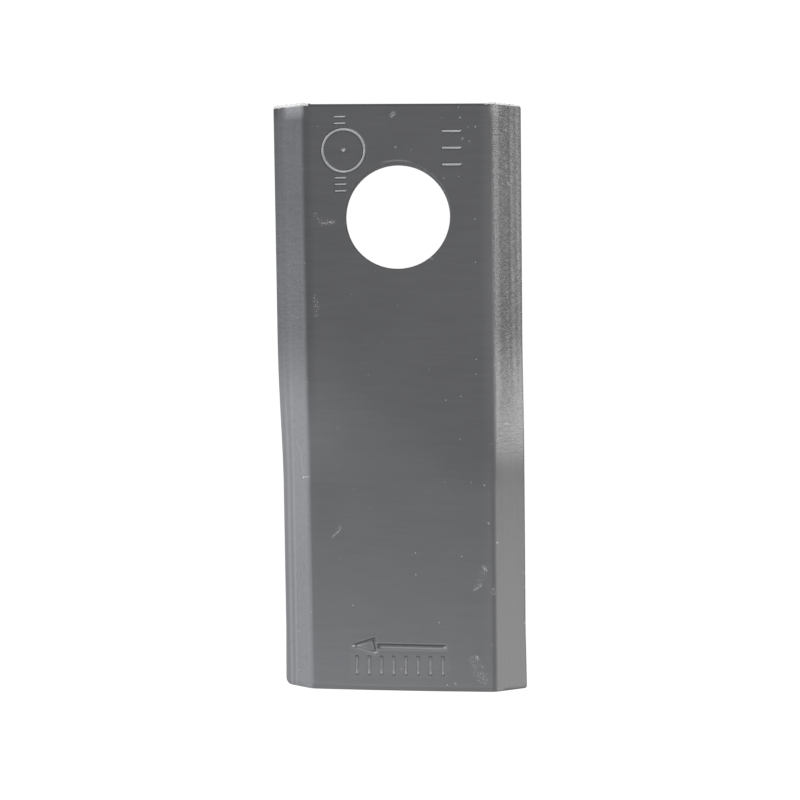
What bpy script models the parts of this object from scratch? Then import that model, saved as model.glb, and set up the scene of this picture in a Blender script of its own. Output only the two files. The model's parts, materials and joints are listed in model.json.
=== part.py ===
"""Rotary mower blade: one loose knife of a disc mower.

It is a single bar of flat steel with a cutting bevel along both long edges of its top face,
sheared to length, punched with one round hole and twisted a few degrees past its seat.
It lies as it comes to rest: +Y points from the tip to the mounting end, +Z is up, and the
origin is on the ground under the middle of the blade.
"""

from math import cos, pi, radians, sin, tan

import bmesh
import bpy
from mathutils import Matrix, Vector

# Driving dimensions of the bar, in metres
LENGTH = 0.1187
WIDTH = 0.050
THICKNESS = 0.004
BEVEL_WIDTH = 0.006
EDGE_LAND = 0.0008

# The hole and the twist, each measured from the mounting end; the tip's right side is turned up
HOLE_DIAMETER = 0.0210
HOLE_TO_END = 0.0223
SEAT_LENGTH = 0.0458
TWIST_LENGTH = 0.0316
TWIST_DEG = 7.0

# The shear leaves both ends a little out of square, bows the tip's end out and spreads it, and
# leaves rounded corners, the tip's left one most
MOUNT_END_SKEW_DEG = -0.82
TIP_END_SKEW_DEG = 0.7
TIP_BOW = 0.0002
TIP_SPREAD = 0.0002
TIP_SPREAD_LENGTH = 0.012
CORNER_RADIUS = 0.0005
TIP_LEFT_RADIUS = 0.0014

# The shear also draws down the tip's upper edge, and draws up the mounting end's lower edge
SHEAR_ROLL_LENGTH = 0.0012
SHEAR_ROLL_DEPTH = 0.0003

# The punch draws the hole's rim down, cuts the upper part clean and breaks out wider below
ROLL_OVER_RADIUS = 0.0004
ROLL_OVER_LEAN_DEG = 70.0
CLEAN_CUT_DEPTH = 0.0014
BREAK_OUT_DEG = 1.0

# Rounding of the crests, where the bevels leave the top face, and of every sharper edge
CREST_ROUNDING = 0.0007
EDGE_ROUNDING = 0.0002
SHARP_ANGLE_DEG = 40.0

# How finely the round and twisted stretches are divided, and how far the punch runs past the bar
HOLE_SIDES = 72
CORNER_SEGMENTS = 6
BOW_SEGMENTS = 6
CREST_SEGMENTS = 4
EDGE_SEGMENTS = 3
RIM_SEGMENTS = 3
SHEAR_ROLL_STATIONS = 4
TWIST_STATIONS = 24
LENGTHWISE_STRIPS = 5
PUNCH_OVERSHOOT = 0.002
SNAP = 1e-7
STATION_SNAP = 2e-5

PAINT_COLOUR = (0.094, 0.095, 0.098, 1.0)
PAINT_ROUGHNESS = 0.3
PAINT_METALLIC = 0.15

# The bar is drawn with the hole's centre at zero
FLAT_WIDTH = WIDTH - 2 * BEVEL_WIDTH
MOUNT_END = HOLE_TO_END
TIP_END = HOLE_TO_END - LENGTH
TWIST_START = HOLE_TO_END - SEAT_LENGTH
TWIST_END = TWIST_START - TWIST_LENGTH


def clear_scene():
    """Empties the file that the script is run in."""
    for item in list(bpy.data.objects):
        bpy.data.objects.remove(item, do_unlink=True)


def grey_paint():
    """The dark grey satin paint that covers the whole knife."""
    material = bpy.data.materials.new("grey_paint")
    material.use_nodes = True
    shader = material.node_tree.nodes["Principled BSDF"]
    shader.inputs["Base Color"].default_value = PAINT_COLOUR
    shader.inputs["Roughness"].default_value = PAINT_ROUGHNESS
    shader.inputs["Metallic"].default_value = PAINT_METALLIC
    return material


def sheared_blank(bm):
    """The bar cut to length: its outline with four rounded corners, raised to the thickness."""
    side = WIDTH / 2
    spread_side = side + TIP_SPREAD
    mount_slant = side * tan(radians(MOUNT_END_SKEW_DEG))
    tip_slant = side * tan(radians(TIP_END_SKEW_DEG))
    points = [(-side, TIP_END + TIP_SPREAD_LENGTH, 0), (-spread_side, TIP_END - tip_slant, TIP_LEFT_RADIUS)]
    for step in range(1, BOW_SEGMENTS):
        share = 2 * step / BOW_SEGMENTS - 1
        points.append((spread_side * share, TIP_END + tip_slant * share - TIP_BOW * (1 - share * share), 0))
    points += [
        (spread_side, TIP_END + tip_slant, CORNER_RADIUS),
        (side, TIP_END + TIP_SPREAD_LENGTH, 0),
        (side, MOUNT_END + mount_slant, CORNER_RADIUS),
        (-side, MOUNT_END - mount_slant, CORNER_RADIUS),
    ]
    outline = [bm.verts.new((x, y, 0)) for x, y, radius in points]
    bm.faces.new(outline)
    for vert, (x, y, radius) in zip(outline, points):
        if radius:
            bmesh.ops.bevel(bm, geom=[vert], offset=radius, offset_type="OFFSET",
                            segments=CORNER_SEGMENTS, profile=0.5, material=-1, affect="VERTICES")
    raised = bmesh.ops.extrude_face_region(bm, geom=bm.faces[:])
    top = [item for item in raised["geom"] if isinstance(item, bmesh.types.BMVert)]
    bmesh.ops.translate(bm, verts=top, vec=(0, 0, THICKNESS))
    bmesh.ops.recalc_face_normals(bm, faces=bm.faces)


def cut_bevel(bm, side):
    """Takes off the slope from the top face down to the narrow land; side is -1 or 1."""
    crest = Vector((side * FLAT_WIDTH / 2, 0, THICKNESS))
    outward = Vector((side * (THICKNESS - EDGE_LAND), 0, BEVEL_WIDTH)).normalized()
    cut = bmesh.ops.bisect_plane(bm, geom=bm.verts[:] + bm.edges[:] + bm.faces[:], dist=SNAP,
                                 plane_co=crest, plane_no=outward, clear_outer=True)
    rim = [item for item in cut["geom_cut"] if isinstance(item, bmesh.types.BMEdge)]
    bmesh.ops.holes_fill(bm, edges=rim, sides=0)


def on_crest(vert):
    """True for a corner point that lies on one of the two sharp crests."""
    return (abs(abs(vert.co.x) - FLAT_WIDTH / 2) < 10 * SNAP
            and abs(vert.co.z - THICKNESS) < 10 * SNAP)


def round_edges(bm):
    """Rounds the two long crests, where the bevels leave the top face, then every sharp edge."""
    crests = [edge for edge in bm.edges if on_crest(edge.verts[0]) and on_crest(edge.verts[1])]
    bmesh.ops.bevel(bm, geom=crests, offset=CREST_ROUNDING, offset_type="OFFSET",
                    segments=CREST_SEGMENTS, profile=0.5, material=-1, affect="EDGES")
    sharp = [edge for edge in bm.edges if edge.calc_face_angle() > radians(SHARP_ANGLE_DEG)]
    bmesh.ops.bevel(bm, geom=sharp, offset=EDGE_ROUNDING, offset_type="OFFSET",
                    segments=EDGE_SEGMENTS, profile=0.5, material=-1, affect="EDGES")


def section_height(x):
    """The height of the bar's top over a place across it."""
    from_edge = max(WIDTH / 2 - abs(x), 0)
    return min(EDGE_LAND + (THICKNESS - EDGE_LAND) * from_edge / BEVEL_WIDTH, THICKNESS)


def roll_over_ends(bm):
    """Draws the tip's upper edge down and the mounting end's lower edge up, as the shear does."""
    tip_skew = radians(TIP_END_SKEW_DEG)
    mount_skew = radians(MOUNT_END_SKEW_DEG)
    tip_inward = Vector((-sin(tip_skew), cos(tip_skew), 0))
    mount_inward = Vector((sin(mount_skew), -cos(mount_skew), 0))
    for y, inward, upper in ((TIP_END, tip_inward, True), (MOUNT_END, mount_inward, False)):
        end = Vector((0, y, 0))
        for station in range(1, SHEAR_ROLL_STATIONS + 1):
            depth = SHEAR_ROLL_LENGTH * station / SHEAR_ROLL_STATIONS
            bmesh.ops.bisect_plane(bm, geom=bm.verts[:] + bm.edges[:] + bm.faces[:], dist=STATION_SNAP,
                                   plane_co=end + inward * depth, plane_no=inward)
        for vert in bm.verts:
            share = max(1 - (vert.co - end).dot(inward) / SHEAR_ROLL_LENGTH, 0)
            draw = SHEAR_ROLL_DEPTH / THICKNESS * share * share
            if upper:
                vert.co.z -= draw * vert.co.z
            else:
                vert.co.z += draw * (section_height(vert.co.x) - vert.co.z)


def cut_sections(bm):
    """Divides the twisting stretch crossways at each station, and lengthwise into strips."""
    for station in range(TWIST_STATIONS + 1):
        y = TWIST_START - TWIST_LENGTH * station / TWIST_STATIONS
        bmesh.ops.bisect_plane(bm, geom=bm.verts[:] + bm.edges[:] + bm.faces[:], dist=SNAP,
                               plane_co=(0, y, 0), plane_no=(0, 1, 0))
    for strip in range(1, LENGTHWISE_STRIPS):
        x = FLAT_WIDTH * (strip / LENGTHWISE_STRIPS - 0.5)
        faces = [face for face in bm.faces if TWIST_END < face.calc_center_median().y < TWIST_START]
        edges = {edge for face in faces for edge in face.edges}
        verts = {vert for face in faces for vert in face.verts}
        bmesh.ops.bisect_plane(bm, geom=[*verts, *edges, *faces], dist=SNAP,
                               plane_co=(x, 0, 0), plane_no=(1, 0, 0))


def twist(bm):
    """Turns every section about the middle of the bar, smoothly from the seat to the tip."""
    for vert in bm.verts:
        share = min(max((TWIST_START - vert.co.y) / TWIST_LENGTH, 0), 1)
        angle = radians(TWIST_DEG) * share * share * (3 - 2 * share)
        middle = Vector((0, vert.co.y, THICKNESS / 2))
        vert.co = middle + Matrix.Rotation(-angle, 3, "Y") @ (vert.co - middle)


def hole_punch():
    """The cutter of the hole: a turned tool that flares at the rim and tapers out below."""
    radius = HOLE_DIAMETER / 2
    break_out = THICKNESS - CLEAN_CUT_DEPTH + PUNCH_OVERSHOOT
    profile = [
        (radius + break_out * tan(radians(BREAK_OUT_DEG)), -PUNCH_OVERSHOOT),
        (radius, THICKNESS - CLEAN_CUT_DEPTH),
    ]
    for step in range(RIM_SEGMENTS + 1):
        lean = radians(ROLL_OVER_LEAN_DEG) * step / RIM_SEGMENTS
        out = radius + ROLL_OVER_RADIUS * (1 - cos(lean))
        up = THICKNESS - ROLL_OVER_RADIUS * (1 - sin(lean))
        profile.append((out, up))
    profile.append((out + PUNCH_OVERSHOOT * sin(lean), up + PUNCH_OVERSHOOT * cos(lean)))

    bm = bmesh.new()
    points = [bm.verts.new((out, 0, up)) for out, up in profile]
    line = [bm.edges.new(pair) for pair in zip(points, points[1:])]
    bmesh.ops.spin(bm, geom=points + line, axis=(0, 0, 1), cent=(0, 0, 0), angle=2 * pi,
                   steps=HOLE_SIDES, use_merge=True)
    open_rims = [edge for edge in bm.edges if edge.is_boundary]
    bmesh.ops.holes_fill(bm, edges=open_rims, sides=0)
    bmesh.ops.recalc_face_normals(bm, faces=bm.faces)
    mesh = bpy.data.meshes.new("hole_punch")
    bm.to_mesh(mesh)
    bm.free()
    punch = bpy.data.objects.new("hole_punch", mesh)
    bpy.context.collection.objects.link(punch)
    punch.hide_render = True
    punch.display_type = "WIRE"
    return punch


def blade():
    """The whole knife, with its hole as a live Boolean."""
    bm = bmesh.new()
    sheared_blank(bm)
    cut_bevel(bm, -1)
    cut_bevel(bm, 1)
    round_edges(bm)
    roll_over_ends(bm)
    cut_sections(bm)
    twist(bm)
    mesh = bpy.data.meshes.new("blade")
    bm.to_mesh(mesh)
    bm.free()
    mesh.shade_smooth()
    mesh.set_sharp_from_angle(angle=radians(20))
    mesh.materials.append(grey_paint())
    knife = bpy.data.objects.new("blade", mesh)
    bpy.context.collection.objects.link(knife)

    punch = hole_punch()
    punch.parent = knife
    hole = knife.modifiers.new("punched_hole", "BOOLEAN")
    hole.operation = "DIFFERENCE"
    hole.solver = "EXACT"
    hole.object = punch
    return knife


def lay_down(knife):
    """Tilts the knife by half its twist, so that it rests on two long edges, over the origin."""
    knife.rotation_euler.y = radians(TWIST_DEG / 2)
    bpy.context.view_layer.update()
    finished = knife.evaluated_get(bpy.context.evaluated_depsgraph_get())
    points = [finished.matrix_world @ vert.co for vert in finished.data.vertices]
    low = Vector([min(point[axis] for point in points) for axis in range(3)])
    high = Vector([max(point[axis] for point in points) for axis in range(3)])
    knife.location = (-(low.x + high.x) / 2, -(low.y + high.y) / 2, -low.z)


clear_scene()
lay_down(blade())
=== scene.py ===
"""The looks of the disc mower knife: stamped marks, worn grey paint, and a plain bright studio."""

import json
from functools import reduce
from math import cos, pi, radians, sin

import bmesh
import bpy
from mathutils import Matrix, Vector, noise as random_field


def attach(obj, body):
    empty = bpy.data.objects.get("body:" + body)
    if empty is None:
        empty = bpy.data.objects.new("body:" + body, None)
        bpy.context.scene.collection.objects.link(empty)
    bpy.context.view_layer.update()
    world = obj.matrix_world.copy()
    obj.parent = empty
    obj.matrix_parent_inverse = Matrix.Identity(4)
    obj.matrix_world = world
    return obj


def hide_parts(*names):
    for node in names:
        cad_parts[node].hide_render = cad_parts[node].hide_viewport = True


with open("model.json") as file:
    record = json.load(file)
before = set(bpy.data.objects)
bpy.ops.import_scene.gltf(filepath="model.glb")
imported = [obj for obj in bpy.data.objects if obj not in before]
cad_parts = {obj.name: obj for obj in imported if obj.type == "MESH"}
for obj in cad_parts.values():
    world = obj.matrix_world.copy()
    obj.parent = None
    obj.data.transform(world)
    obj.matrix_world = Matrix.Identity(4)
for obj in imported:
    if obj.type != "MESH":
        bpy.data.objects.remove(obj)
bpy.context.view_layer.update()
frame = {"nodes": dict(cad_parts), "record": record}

# The knife: one bar of rolled steel, bevelled along both edges, sheared to length, punched,
# stamped cold on its upper face, twisted, and dipped in grey paint that is satin when dry.
# The solid's own shape stays, and the stamped marks are pressed into a copy of it.
MM = 0.001
HALF_WIDTH = 25
LAND = 0.8
BEVEL_RISE = 3.2
BEVEL_BREADTH = 6
CREST = LAND + BEVEL_RISE
HOLE_RADIUS = 10.5

# The sheared ends, in mm from the hole's centre: each one's skew, and the tip's bow
MOUNT_END = 22.3
MOUNT_SKEW = 0.01431
TIP_END = 96.6
TIP_SKEW = 0.01222
TIP_BOW = 0.000315

mounts = {mount["name"]: mount for mount in frame["record"]["mounts"]}
seat_face = Vector(mounts["seat_face"]["pos_m"])
clamp_face = Vector(mounts["clamp_face"]["pos_m"])
hole_low, hole_high = frame["record"]["physics"]["openings"][0]["box_m"]
hole_y = (hole_low[1] + hole_high[1]) / 2
thickness = (clamp_face - seat_face).length
seat_lean = radians(3.5)
tip_turn = -2 * seat_lean
twist_start = -23.5 * MM
twist_length = 31.6 * MM

# Places on the bar count from the hole's centre: x across it and y towards the mounting end
bar = Matrix.Translation((seat_face.x, hole_y, seat_face.z)) @ Matrix.Rotation(seat_lean, 4, "Y")
seat_top = bar @ Matrix.Translation((0, 0, thickness))
tip_top = (bar @ Matrix.Translation((0, 0, thickness / 2)) @ Matrix.Rotation(tip_turn, 4, "Y")
           @ Matrix.Translation((0, 0, thickness / 2)))


# Two material slots tell the rolled faces of the bar from those that stamps and burrs bring
ROLLED = bpy.data.materials.new("rolled_faces")
STAMPED = bpy.data.materials.new("stamped_faces")
STAMPED_SLOT = 1


def join(target, shape, place):
    """Adds a small shape to another mesh at its place, with its faces marked as stamped ones."""
    for face in shape.faces:
        face.material_index = STAMPED_SLOT
    shape.transform(place)
    spare = bpy.data.meshes.new("spare")
    shape.to_mesh(spare)
    shape.free()
    target.from_mesh(spare)
    bpy.data.meshes.remove(spare)


# A stamp's section from its middle outwards, in shares of its half width and of its depth
SECTION = ((0.1, -1.0), (0.3, -0.85), (0.6, -0.5), (0.85, -0.18), (1.0, 0.0), (1.2, 0.3))


def stroke(marks, plane, start, end, width, depth):
    """One stroke of a stamp as a cutter: a round bowl, drawn out from start to end."""
    start = Vector((*start, 0)) * MM
    along = Vector((*end, 0)) * MM - start
    steps = 20
    bowl = bmesh.new()
    points = [bowl.verts.new((out * width / 2 * MM, 0, up * depth * MM)) for out, up in SECTION]
    line = [bowl.edges.new(pair) for pair in zip(points, points[1:])]
    half_step = Matrix.Rotation(pi / steps, 3, "Z")
    bmesh.ops.rotate(bowl, verts=points, cent=(0, 0, 0), matrix=half_step)
    bmesh.ops.spin(bowl, geom=points + line, axis=(0, 0, 1), cent=(0, 0, 0), angle=2 * pi,
                   steps=steps, use_merge=True)
    far_half = [vert for vert in bowl.verts if vert.co.x > 0]
    bmesh.ops.translate(bowl, verts=far_half, vec=(along.length, 0, 0))
    rims = [edge for edge in bowl.edges if edge.is_boundary]
    bmesh.ops.holes_fill(bowl, edges=rims, sides=0)
    bmesh.ops.recalc_face_normals(bowl, faces=bowl.faces)
    heading = Vector((1, 0)).angle_signed(along.xy, 0) if along.length else 0
    join(marks, bowl, plane @ Matrix.Translation(start) @ Matrix.Rotation(-heading, 4, "Z"))


def ring(marks, plane, centre, radius, width, depth):
    """One round groove of a stamp as a cutter: its section, turned about the ring's centre."""
    inner = [(-out, up) for out, up in reversed(SECTION)]
    turned = bmesh.new()
    points = [turned.verts.new(((radius + out * width / 2) * MM, 0, up * depth * MM))
              for out, up in (*inner, *SECTION)]
    line = [turned.edges.new(pair) for pair in zip(points, points[1:] + points[:1])]
    bmesh.ops.spin(turned, geom=points + line, axis=(0, 0, 1), cent=(0, 0, 0), angle=2 * pi,
                   steps=64, use_merge=True)
    bmesh.ops.recalc_face_normals(turned, faces=turned.faces)
    join(marks, turned, plane @ Matrix.Translation(Vector((*centre, 0)) * MM))


# The arrow at the tip shows which way the knife flies: an open triangle and a shaft.
# Each stroke has its face, its start and end, its width and its depth, all in mm.
arrow = [
    (tip_top, (-10.1, -87.4), (-5.75, -85.95), 0.82, 0.25),
    (tip_top, (-10.16, -87.52), (-5.42, -88.82), 0.84, 0.24),
    (tip_top, (-5.66, -86.1), (-5.33, -88.7), 0.8, 0.26),
    (tip_top, (-4.8, -87.35), (8.7, -87.3), 1.2, 0.35),
]

# A row of plain upright bars under the arrow
strokes = list(arrow)
for bar_number in range(8):
    bar_x = -9.3 + 2.53 * bar_number
    bar_y = -89.75 + 0.04 * bar_number
    strokes.append((tip_top, (bar_x, bar_y), (bar_x - 0.05, bar_y - 3.3), 0.9, 0.28))

# A dot in a ring and short bars in line with it left of the hole, and three bars right of it
ring_centre = (-10.7, 13.2)
strokes.append((seat_top, ring_centre, ring_centre, 1.2, 0.3))
for bar_y in (19.9, 18.6, 7.8, 6.5, 5.2):
    strokes.append((seat_top, (-12.4, bar_y), (-10.4, bar_y), 0.7, 0.26))
for bar_y in (16.7, 13.4, 10.1):
    strokes.append((seat_top, (9.2, bar_y), (12.6, bar_y - 0.05), 0.85, 0.3))

marks = bmesh.new()
for plane, start, end, width, depth in strokes:
    stroke(marks, plane, start, end, width, depth)
ring(marks, seat_top, ring_centre, radius=4.2, width=0.85, depth=0.3)

# The bar itself is a copy of the solid's loose triangles, merged, with its flat faces made whole
steel = bmesh.new()
steel.from_mesh(frame["nodes"]["blade"].data)
bmesh.ops.remove_doubles(steel, verts=steel.verts, dist=1e-6)
bmesh.ops.dissolve_limit(steel, angle_limit=radians(0.1), verts=steel.verts, edges=steel.edges)


def burr(start, end):
    """The ragged lip that the shear left on the mounting end's upper edge, from x start to end."""
    stations = 36
    swelling = 4
    lip = bmesh.new()
    for station in range(stations + 1):
        x = start + (end - start) * station / stations
        top = min(LAND + (HALF_WIDTH - abs(x)) * BEVEL_RISE / BEVEL_BREADTH, CREST)
        shorn = MOUNT_END - x * MOUNT_SKEW
        ragged = random_field.noise(Vector((x * 2.1, 5.0, 0.0)))
        ragged += random_field.noise(Vector((x * 6.3, 9.0, 0.0)))
        swell = min(station, stations - station, swelling) / swelling
        reach = max(0.12 + 0.22 * ragged, 0.02) * swell
        crown = (0.13 + reach * 0.15) * swell - 0.1
        section = ((-0.3, -0.2), (-0.25, swell * 0.115 - 0.1), (reach * 0.6, crown),
                   (reach, -0.06), (reach * 0.3, -0.3))
        points = [Vector((x, shorn + out, top + up)) * MM for out, up in section]
        if station == 0:
            end_face = lip.faces.new([lip.verts.new(point) for point in points])
            continue
        grown = bmesh.ops.extrude_face_region(lip, geom=[end_face])["geom"]
        if station > 1:
            bmesh.ops.delete(lip, geom=[end_face], context="FACES_ONLY")
        end_face = [part for part in grown if isinstance(part, bmesh.types.BMFace)][0]
        for vert, point in zip(end_face.verts, points):
            vert.co = point
    bmesh.ops.recalc_face_normals(lip, faces=lip.faces)
    if lip.calc_volume(signed=True) < 0:
        bmesh.ops.reverse_faces(lip, faces=lip.faces)
    formed = bmesh.new()
    join(formed, lip, bar)
    return formed


# The burrs are joined to the bar one by one, and then the stamps are pressed into it
formings = (("left_burr", burr(-24.9, -17.2), "UNION", "MANIFOLD"),
            ("right_burr", burr(17.6, 24.9), "UNION", "MANIFOLD"),
            ("stamps", marks, "DIFFERENCE", "EXACT"))
shapes = {}
for name, shape in (("stamped_knife", steel), *(forming[:2] for forming in formings)):
    mesh = bpy.data.meshes.new(name)
    shape.to_mesh(mesh)
    shape.free()
    mesh.materials.append(ROLLED)
    mesh.materials.append(STAMPED)
    shapes[name] = bpy.data.objects.new(name, mesh)
    bpy.context.scene.collection.objects.link(shapes[name])
knife = shapes["stamped_knife"]
for name, _, operation, solver in formings:
    forming = knife.modifiers.new(name, "BOOLEAN")
    forming.operation = operation
    forming.solver = solver
    forming.use_self = solver == "EXACT"
    forming.object = shapes[name]
bpy.context.view_layer.update()
formed_knife = knife.evaluated_get(bpy.context.evaluated_depsgraph_get())
pressed = bpy.data.meshes.new_from_object(formed_knife)
knife.modifiers.clear()
knife.data = pressed
for name, *_ in formings:
    bpy.data.objects.remove(shapes[name])

# The paint's pattern follows the bar, so each point keeps its place on the untwisted bar, in mm
place = pressed.attributes.new("bar_place", "FLOAT_VECTOR", "POINT")
to_bar = bar.inverted()
middle = Vector((0, 0, thickness / 2))
for vert, kept in zip(pressed.vertices, place.data):
    point = to_bar @ vert.co
    share = min(max((twist_start - point.y) / twist_length, 0), 1)
    turn = tip_turn * share * share * (3 - 2 * share)
    axis_point = middle + Vector((0, point.y, 0))
    kept.vector = (axis_point + Matrix.Rotation(-turn, 3, "Y") @ (point - axis_point)) / MM

# Stamps and burrs end in sharp lines on the rolled faces, whose shading stays even up to them
pressed.shade_smooth()
pressed.set_sharp_from_angle(angle=radians(32))
outlined = bmesh.new()
outlined.from_mesh(pressed)
for edge in outlined.edges:
    if len({face.material_index for face in edge.link_faces}) > 1:
        edge.smooth = False
outlined.to_mesh(pressed)
outlined.free()
shading = knife.modifiers.new("shading", "WEIGHTED_NORMAL")
shading.keep_sharp = True
shading.weight = 80


class Wire:
    """A socket of a node tree; arithmetic on wires adds Math nodes."""

    def __init__(self, tree, socket=None):
        self.tree = tree
        self.socket = socket

    def node(self, kind, settings=(), sockets=(), output=0):
        """Adds a node, its settings first, then its sockets' values or links; gives one output."""
        made = self.tree.nodes.new(kind)
        for name, value in dict(settings).items():
            setattr(made, name, value)
        for name, value in dict(sockets).items():
            if isinstance(value, Wire):
                self.tree.links.new(value.socket, made.inputs[name])
            else:
                made.inputs[name].default_value = value
        return Wire(self.tree, made.outputs[output])

    def math(self, operation, *values, clamp=False):
        """One Math node."""
        return self.node("ShaderNodeMath", {"operation": operation, "use_clamp": clamp},
                         dict(enumerate(values)))

    def __add__(self, other):
        return self.math("ADD", self, other)

    def __radd__(self, other):
        return self.math("ADD", other, self)

    def __sub__(self, other):
        return self.math("SUBTRACT", self, other)

    def __rsub__(self, other):
        return self.math("SUBTRACT", other, self)

    def __mul__(self, other):
        return self.math("MULTIPLY", self, other)

    def __rmul__(self, other):
        return self.math("MULTIPLY", other, self)

    def __truediv__(self, other):
        return self.math("DIVIDE", self, other)

    def most(self, other):
        """The larger of two."""
        return self.math("MAXIMUM", self, other)

    def least(self, other):
        """The smaller of two."""
        return self.math("MINIMUM", self, other)

    def rise(self, low, high):
        """0 below low, 1 above high, and smooth between; turned round where low is the higher."""
        return self.node("ShaderNodeMapRange", {"interpolation_type": "SMOOTHSTEP"},
                         {"Value": self, "From Min": low, "From Max": high})


paint = bpy.data.materials.new("worn_grey_paint")
paint.use_nodes = True
paint.node_tree.nodes.clear()
tool = Wire(paint.node_tree)
bar_place = tool.node("ShaderNodeAttribute", {"attribute_name": "bar_place"}, output="Vector")
x = tool.node("ShaderNodeSeparateXYZ", (), {"Vector": bar_place}, "X")
y = tool.node("ShaderNodeSeparateXYZ", (), {"Vector": bar_place}, "Y")
z = tool.node("ShaderNodeSeparateXYZ", (), {"Vector": bar_place}, "Z")


def noise(across, lengthwise, through, detail=3.0, rough=0.5):
    """Cloudy noise from about -1 to 1, with its own number of waves to the millimetre each way."""
    stretched = tool.node("ShaderNodeVectorMath", {"operation": "MULTIPLY"},
                          {0: bar_place, 1: (across, lengthwise, through)})
    cloud = tool.node("ShaderNodeTexNoise", {"noise_dimensions": "3D"},
                      {"Vector": stretched, "Scale": 1.0, "Detail": detail, "Roughness": rough})
    return cloud * 2 - 1


# Where the point lies: on a bevel, on the flat, on the underside, on a sheared end or in the
# hole. The limits of each zone are distances in mm from an edge, an end or the hole's wall.
from_edge = HALF_WIDTH - x.math("ABSOLUTE", x)
upper = z.rise(0.3, 0.6)
bevel = from_edge.rise(6.3, 5.6) * upper
flat = from_edge.rise(5.9, 6.4) * z.rise(3.0, 3.5)
right = x.rise(-1.0, 1.0)
from_mount_end = MOUNT_END - y - x * MOUNT_SKEW
from_tip_end = y + TIP_END - x * TIP_SKEW - x * x * TIP_BOW
sheared = 1 - from_mount_end.least(from_tip_end).rise(0.0, 0.12)
from_hole = x.math("SQRT", x * x + y * y) - HOLE_RADIUS
punched = from_hole.rise(0.12, 0.02)
# Round the hole: its wall and rim get painted shade, and an arc just above it a painted highlight
hole_rim = from_hole.rise(0.5, 0.3) * (1 - punched)
rim_arc = from_hole.rise(0.75, 0.6) * from_hole.rise(0.35, 0.45) * y.rise(10.5, 10.9)

# Rolling and grinding leave lines along the bevels; the right one is rough from forging too
WAVE_BREADTH = 1.3
ground = noise(2.6, 0.02, 0.4, detail=4.0, rough=0.65)
towards_tip = y.rise(0.0, -60.0)
wave_place = from_edge - 1.45 + towards_tip * 0.5 + right * 1.35
waves = x.math("SINE", wave_place * (2 * pi / WAVE_BREADTH))
wave_zone = from_edge.rise(0.1, 0.5) * from_edge.rise(3.3, 2.6) * (1 - right * y.rise(-28.0, -42.0))
forged = noise(0.55, 1.35, 0.4, detail=4.0, rough=0.62)
forged_zone = y.rise(-50.0, -44.0) * (0.5 + right * 0.5)
lined = ground * (1 - forged_zone * from_edge.rise(1.6, 2.4) * 0.9)
crosswise = noise(0.12, 1.1, 0.4, detail=4.0, rough=0.6)
cloudy = noise(0.08, 0.07, 0.08, detail=2.0)
peel = noise(3.2, 3.2, 3.2, detail=2.0)
grain = noise(9.0, 9.0, 9.0, detail=1.0)

# Paint nibs: fine light ones strewn about, mostly on the right half
cell_settings = {"voronoi_dimensions": "2D", "feature": "F1"}
cell_sockets = {"Vector": bar_place, "Scale": 0.32, "Randomness": 1.0}
cells = tool.node("ShaderNodeTexVoronoi", cell_settings, cell_sockets, "Distance")
cell_tint = tool.node("ShaderNodeTexVoronoi", cell_settings, cell_sockets, "Color")
cell_draw = tool.node("ShaderNodeSeparateXYZ", (), {"Vector": cell_tint}, "X")
nibs = cells.rise(0.045, 0.015) * cell_draw.rise(0.86, 0.97) * (0.3 + 0.4 * right)
chip = noise(4.5, 4.5, 4.5, detail=3.0, rough=0.6)

# Zones that carry painted highlights and shade: the seat round the hole, the crests between flat
# and bevels, the bevels where they turn with the twist, the tip's drawn edge and the grooves
seat = y.rise(-46.0, -34.0)
crest = from_edge.rise(4.5, 5.9) * from_edge.rise(7.8, 5.9) * upper
# A painted highlight along the right crest, mostly on its flat side
painted_crest_highlight = from_edge.rise(8.9, 6.5) * from_edge.rise(5.2, 6.1) * upper * right
# A painted highlight on the right bevel where it turns with the twist
glint = y.rise(-20.0, -34.0) * y.rise(-51.0, -42.0) * right * bevel
left_bevel = bevel * (1 - right)
# A painted highlight on the left bevel towards the tip, and painted shade above it where the twist
# begins
left_glint = y.rise(-26.0, -40.0) * (0.22 - y.rise(-55.0, -75.0) * 0.16)
left_glint = left_glint - y.rise(-8.0, -22.0) * y.rise(-38.0, -26.0) * 0.11
tip_roll = from_tip_end.rise(1.4, 0.8) * flat
edge_side = (3.2 - from_edge).most(0) * right * upper
# A painted shade on a strip of the flat beside the left crest, by the seat
beside_crest = from_edge.rise(5.9, 6.6) * from_edge.rise(8.6, 6.8) * (1 - right) * seat
stamps = from_hole.rise(0.6, 0.8) * from_edge.rise(7.0, 7.4) * z.rise(3.0, 3.5)
stamps = stamps * from_mount_end.rise(0.6, 1.0) * from_tip_end.rise(1.8, 2.2)
# Floors and walls of the grooves, where the colour carries painted highlights and painted shade
groove_floor = z.rise(3.86, 3.79) * stamps
groove_wall = z.rise(3.98, 3.94) * z.rise(3.79, 3.86) * stamps


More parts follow.
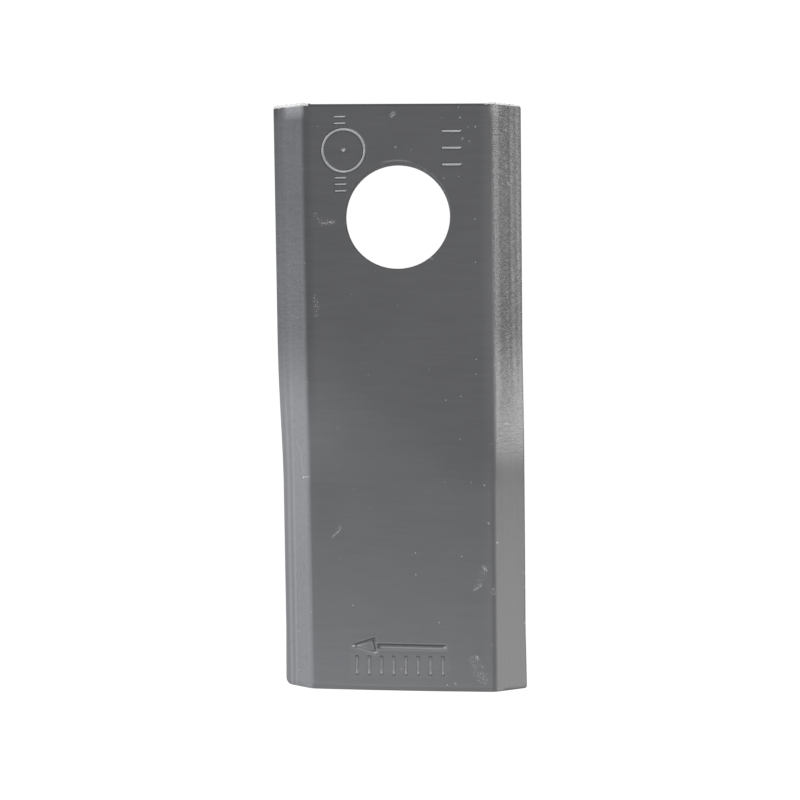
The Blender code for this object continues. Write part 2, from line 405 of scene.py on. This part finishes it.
def scuff(start, end, radius):
    """How far a point lies inside a scratch between two places on the bar: 1 on its line."""
    run = Vector(end) - Vector(start)
    away = tool.node("ShaderNodeVectorMath", {"operation": "SUBTRACT"},
                     {0: bar_place, 1: (*start, 0)})
    if run.length:
        share = tool.node("ShaderNodeVectorMath", {"operation": "DOT_PRODUCT"},
                          {0: away, 1: (run.x, run.y, 0)}, "Value") / run.length_squared
        reach = tool.node("ShaderNodeVectorMath", {"operation": "SCALE"},
                          {0: (run.x, run.y, 0), "Scale": share.math("ADD", share, 0, clamp=True)})
        away = tool.node("ShaderNodeVectorMath", {"operation": "SUBTRACT"}, {0: away, 1: reach})
    level = tool.node("ShaderNodeVectorMath", {"operation": "MULTIPLY"}, {0: away, 1: (1, 1, 0)})
    distance = tool.node("ShaderNodeVectorMath", {"operation": "LENGTH"}, {0: level}, "Value")
    return distance.rise(radius * 1.8, 0)


def strongest(masks):
    """The strongest of several masks at each point; each is made as it is added."""
    return reduce(Wire.most, masks)


# Scuffs and knocks that went through the paint, each at its own place
scuffs = strongest(scuff(*spot) for spot in (
    ((-0.9, 19.9), (-0.5, 20.4), 0.35),
    ((-0.3, 13.6), (-0.2, 13.7), 0.18),
    ((12.7, 19.3), (12.7, 19.3), 0.16),
    ((14.2, 17.3), (14.3, 17.3), 0.15),
    ((15.7, 17.5), (15.7, 17.4), 0.16),
    ((13.1, 15.2), (13.1, 14.9), 0.15),
    ((14.5, 14.6), (14.5, 14.6), 0.16),
    ((22.2, 6.4), (22.4, 6.2), 0.2),
    ((21.8, 9.9), (22.0, 9.7), 0.18),
    ((-15.2, -1.2), (-12.9, -1.0), 0.2),
    ((6.5, -8.5), (6.9, -8.7), 0.15),
    ((-20.2, -52.8), (-19.0, -52.6), 0.16),
    ((17.9, -61.8), (17.9, -61.8), 0.22),
    ((19.6, -65.7), (19.7, -65.7), 0.18),
    ((14.5, -53.5), (14.6, -53.5), 0.14),
    ((17.1, -54.1), (17.1, -54.1), 0.16),
    ((16.8, -70.6), (17.3, -71.4), 0.25),
    ((14.9, -75.4), (16.3, -74.4), 0.16),
    ((18.7, -75.1), (18.7, -75.1), 0.22),
    ((19.0, -76.0), (19.0, -76.1), 0.16),
    ((15.3, -88.9), (15.5, -89.5), 0.2),
    ((10.9, -94.6), (10.9, -94.6), 0.18),
    ((-12.2, -62.9), (-12.8, -63.8), 0.1),
    ((-12.8, -63.8), (-14.0, -64.8), 0.1),
    ((21.3, -41.9), (21.7, -42.0), 0.2),
    ((7.7, -82.2), (7.7, -82.2), 0.14),
    ((-10.0, -79.0), (-10.0, -79.0), 0.14),
))
scuffs = scuffs * chip.rise(-0.1, 0.3) * upper

# Rubbed places: sparse light specks where the knife knocked against others, and a faint scratch
rubbed = strongest(scuff(*spot) for spot in (
    ((-15.2, -1.1), (-13.1, -0.9), 0.7),
    ((-16.6, 0.6), (-16.0, -0.2), 0.5),
    ((14.9, -89.9), (16.6, -93.6), 1.3),
    ((17.0, -71.0), (15.6, -74.8), 0.7),
    ((18.8, -75.6), (18.8, -75.8), 0.5),
    ((-12.4, -62.8), (-14.1, -64.9), 0.4),
    ((-16.9, -16.0), (-16.4, -19.5), 0.6),
))
rubbed = rubbed.rise(0.1, 0.9) * chip.rise(0.16, 0.32) * upper
faint = strongest(scuff(*spot) for spot in (
    ((-21.4, -45.4), (-20.5, -47.6), 0.12),
    ((-20.5, -47.6), (-20.2, -52.8), 0.12),
))

# Each groove of the arrow has a painted highlight on the lip around it, and painted highlights on
# the side that slopes to the tip
lip_highlights = strongest(scuff(start, end, width * 0.46) for _, start, end, width, _ in arrow)
lip_highlights = lip_highlights.rise(0.02, 0.12) * lip_highlights.rise(0.42, 0.3)
lit = strongest(scuff(start, end, radius) * level for start, end, radius, level in (
    ((-4.3, -87.58), (8.2, -87.55), 0.2, 0.5),
    ((8.75, -87.45), (8.8, -87.45), 0.28, 1.0),
    ((-9.2, -87.38), (-6.3, -86.4), 0.14, 0.5),
    ((-9.4, -87.85), (-5.9, -88.82), 0.14, 0.5),
    ((-5.42, -86.5), (-5.12, -88.6), 0.11, 0.5),
    ((-10.1, -87.47), (-10.0, -87.47), 0.26, 1.1),
    ((-5.6, -88.75), (-5.4, -88.75), 0.26, 1.0),
))

# The paint is a little lighter among the upright bars under the arrow
bars = y.rise(-88.6, -89.2)
bar_block = bars * y.rise(-94.2, -93.4) * x.rise(-11.3, -10.2) * x.rise(10.4, 9.3)
bar_block = bar_block * (1 - groove_floor)
# Painted highlights at the bars' lower ends and painted shade at their upper ends
painted_bar_light = 0.8 + y.rise(-92.1, -92.8) * 0.9 - y.rise(-90.4, -89.8) * 0.5

# Shearing the mounting end left a burr, and its paint has chipped off near both bevels
ragged = noise(1.1, 1.1, 1.1, detail=4.0, rough=0.7)
end_chips = (from_mount_end + ragged * 0.4 + right * 0.22).rise(0.5, 0.35)
top = (from_edge * (BEVEL_RISE / BEVEL_BREADTH) + LAND).least(CREST)
end_chips = end_chips * from_edge.rise(7.6, 7.2) * (top - z + ragged * 0.5).rise(0.8, 0.5)
end_chips = end_chips * (0.3 + (ragged + chip * 0.4).rise(-0.35, 0.0) * 0.7)
bare = end_chips.most(scuffs * 0.85).most(nibs * upper).most(rubbed * 0.7)
near_mount = from_mount_end.rise(3.6, 0.8) * upper
worn_end = near_mount * from_edge.rise(6.8, 6.1)
worn_end = worn_end * from_edge.rise(1.6 + right * 2.0, 3.4 + right * 1.6)
# Painted shade on the flat along the mounting end's edge
end_rim = from_mount_end.rise(0.8, 0.5) * flat
outer = from_edge.rise(1.5, 0.5) * upper * (1 - right)

# Colour: an even grey whose tone each layer above makes a little lighter or darker, many of them
# with painted highlights and painted shade. First the bevels with their lines and mottling, then
# grooves and rims, then crests, glints and ends.
GREY_PAINT = (0.094, 0.095, 0.0985)
BARE_STEEL = (0.62, 0.61, 0.6, 1)
# Even grey with random tone and fine texture, less a painted shade beside the left crest
tone = 1 + cloudy * 0.05 + crosswise * flat * 0.12 + grain * 0.03 - beside_crest * 0.15
mottled = lined * 0.2 + forged * forged_zone * 0.25 + grain * 0.25
tone = tone + bevel * (mottled - right * seat * 0.03)
tone = tone + left_bevel * from_edge.rise(1.5, 2.1) * (chip * 0.3 + ragged * 0.22 + seat * 0.03)
tone = tone - left_bevel * seat * from_edge.rise(1.1, 1.5) * from_edge.rise(2.0, 1.6) * 0.12
# The left bevel lighter near the mounting end, and its painted highlight and shade along the twist
tone = tone + left_bevel * (y.rise(4.0, 14.0) * from_edge.rise(1.4, 2.4) * 0.1 + left_glint)
tone = tone + waves * wave_zone * bevel * towards_tip * 0.2 + faint * bevel * 0.35
# Painted highlights on the floors of the stamps by the seat and on an arc just above the hole;
# painted shade on the grooves' walls and round the hole's rim
tone = tone + groove_floor * seat * 2.4 - groove_wall * 0.45 - hole_rim * 0.2 + rim_arc * 0.8
# Painted shade in the arrow's groove floors, painted highlights in the bars' floors, and the paint
# a little lighter among the bars
tone = tone + groove_floor * (1 - seat) * (bars * painted_bar_light - 0.35) + bar_block * 0.08
# Painted highlights on the arrow's lips and on its grooves' sides that slope to the tip
tone = tone + (lip_highlights * 0.35 + lit * 2.6) * (1 - seat)
# The right crest's painted highlight, and the flat darker along the tip's drawn edge
tone = tone + painted_crest_highlight * (0.1 + seat * 0.1) - tip_roll * 0.3
# The painted highlight on the right bevel in the twist, brightest towards its outer edge
tone = tone + glint * (0.48 + from_edge.rise(3.5, 0.5) * 0.2)
tone = tone + worn_end * (1.3 - right * 0.6 + chip * 1.5) - outer * (0.13 + near_mount * 0.3)
tone = tone + right * seat * upper * from_edge.rise(2.8, 1.6) * 0.22
# Painted shade on the hole's wall and on the flat along the mounting end's edge; the sheared ends a
# little darker
tone = tone * (1 - punched * 0.4 - end_rim * 0.3) * (1 - sheared * 0.1 * (1 - ragged * 0.5))
grey = tool.node("ShaderNodeVectorMath", {"operation": "SCALE"}, {0: GREY_PAINT, "Scale": tone})
colour = tool.node("ShaderNodeMix", {"data_type": "RGBA"}, {0: bare, 6: grey, 7: BARE_STEEL}, 2)
roughness = 0.3 + cloudy * 0.03 + bevel * lined * 0.05 + bare * 0.1 + sheared * 0.15
roughness = roughness + punched * 0.3 + end_rim * 0.5 + hole_rim * 0.25 + tip_roll * 0.1

# Relief, in millimetres: lines and waves of the bevels, forging dents, orange peel of the paint
relief = bevel * (lined * 0.002 + waves * wave_zone * 0.006 + forged * forged_zone * 0.042)
relief = relief + flat * crosswise * 0.0025 + peel * 0.0015 + cloudy * 0.01
relief = relief - crest * (0.015 + right * seat * 0.056) + edge_side * edge_side * 0.006
drawn = (1 - from_tip_end / 1.2).most(0)
relief = relief + sheared * ragged * 0.03 + drawn * drawn * 0.2 * z.rise(2.5, 3.5)
normal = tool.node("ShaderNodeBump", (), {"Height": relief, "Distance": MM, "Strength": 1.0},
                   "Normal")
surface = tool.node("ShaderNodeBsdfPrincipled", (),
                    {"Base Color": colour, "Roughness": roughness, "Normal": normal,
                     "Metallic": 0.15}, "BSDF")
output = paint.node_tree.nodes.new("ShaderNodeOutputMaterial")
paint.node_tree.links.new(surface.socket, output.inputs["Surface"])

knife.data.materials.clear()
knife.data.materials.append(paint)
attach(knife, "root")
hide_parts("blade")

# The studio: a white table under the knife, which keeps a faint shadow of it, in a plain pale
# room. The camera sees both as white, and neither throws that light on the knife.
TABLE_REACH = 3
TABLE_WHITENESS = 0.92
WHITE = (1, 1, 1, 1)
floor_mesh = bpy.data.meshes.new("table")
table = bmesh.new()
bmesh.ops.create_grid(table, x_segments=1, y_segments=1, size=TABLE_REACH)
table.to_mesh(floor_mesh)
table.free()
floor = bpy.data.objects.new("table", floor_mesh)
bpy.context.scene.collection.objects.link(floor)
white = bpy.data.materials.new("white_table")
white.use_nodes = True
white.node_tree.nodes.clear()
tool = Wire(white.node_tree)
camera_ray = tool.node("ShaderNodeLightPath", output="Is Camera Ray")
board = tool.node("ShaderNodeBsdfDiffuse", (), {"Color": (0.9, 0.9, 0.9, 1)}, "BSDF")
glow = tool.node("ShaderNodeEmission", (), {"Color": WHITE, "Strength": 1.06}, "Emission")
mixed = tool.node("ShaderNodeMixShader", (),
                  {0: camera_ray * TABLE_WHITENESS, 1: board, 2: glow}, "Shader")
output = white.node_tree.nodes.new("ShaderNodeOutputMaterial")
white.node_tree.links.new(mixed.socket, output.inputs["Surface"])
floor_mesh.materials.append(white)

world = bpy.data.worlds.new("studio")
world.use_nodes = True
world.node_tree.nodes.clear()
tool = Wire(world.node_tree)
camera_ray = tool.node("ShaderNodeLightPath", output="Is Camera Ray")
around = tool.node("ShaderNodeBackground", (), {"Color": WHITE, "Strength": 0.15}, "Background")
backdrop = tool.node("ShaderNodeBackground", (), {"Color": WHITE, "Strength": 1.0}, "Background")
mixed = tool.node("ShaderNodeMixShader", (), {0: camera_ray, 1: around, 2: backdrop}, "Shader")
output = world.node_tree.nodes.new("ShaderNodeOutputWorld")
world.node_tree.links.new(mixed.socket, output.inputs["Surface"])
bpy.context.scene.world = world

# Soft boxes and broad screens: each one's direction in degrees, breadth, power and tint
LAMP_DISTANCE = 0.6
for name, azimuth, elevation, size, power, tint in (
    ("soft_box_right", 78, 37.5, 0.2, 0.97, (1.0, 0.985, 0.965)),
    ("soft_box_tip_right", 119, 38, 0.35, 1.32, (1.0, 0.985, 0.965)),
    ("soft_box_left", 270, 12, 0.35, 0.3, (0.97, 0.985, 1.03)),
    ("soft_box_tip_left", 240, 30, 0.35, 0.3, (0.97, 0.985, 1.03)),
    ("soft_box_tip", 200, 50, 0.35, 0.88, (0.98, 0.99, 1.02)),
    ("soft_box_mount", 0, 35, 0.35, 1.15, (1.0, 1.0, 1.0)),
    ("screen_left", 270, 23, 0.7, 0.93, (0.97, 0.985, 1.03)),
    ("screen_tip_left", 240, 28, 0.7, 2.19, (0.97, 0.985, 1.03)),
    ("screen_tip", 200, 50, 0.7, 0.78, (0.98, 0.99, 1.02)),
):
    lamp = bpy.data.lights.new(name, "AREA")
    lamp.shape = "DISK"
    lamp.size = size
    lamp.energy = power
    lamp.color = tint
    box = bpy.data.objects.new(name, lamp)
    bpy.context.scene.collection.objects.link(box)
    away = Vector((sin(radians(azimuth)) * cos(radians(elevation)),
                   cos(radians(azimuth)) * cos(radians(elevation)), sin(radians(elevation))))
    box.location = away * LAMP_DISTANCE
    box.rotation_euler = away.to_track_quat("Z", "Y").to_euler()

# The camera looks down on the knife from a little right of its middle, as in the photograph
lens = bpy.data.cameras.new("camera")
lens.sensor_width = 36
lens.lens = 55.289
lens.clip_start = 0.01
camera = bpy.data.objects.new("camera", lens)
camera.location = (0.02227, 0.013411, 0.252183)
camera.rotation_euler = (radians(-3.1361), radians(5.1105), radians(-0.7309))
bpy.context.scene.collection.objects.link(camera)
bpy.context.scene.camera = camera
bpy.context.scene.view_settings.view_transform = "Standard"
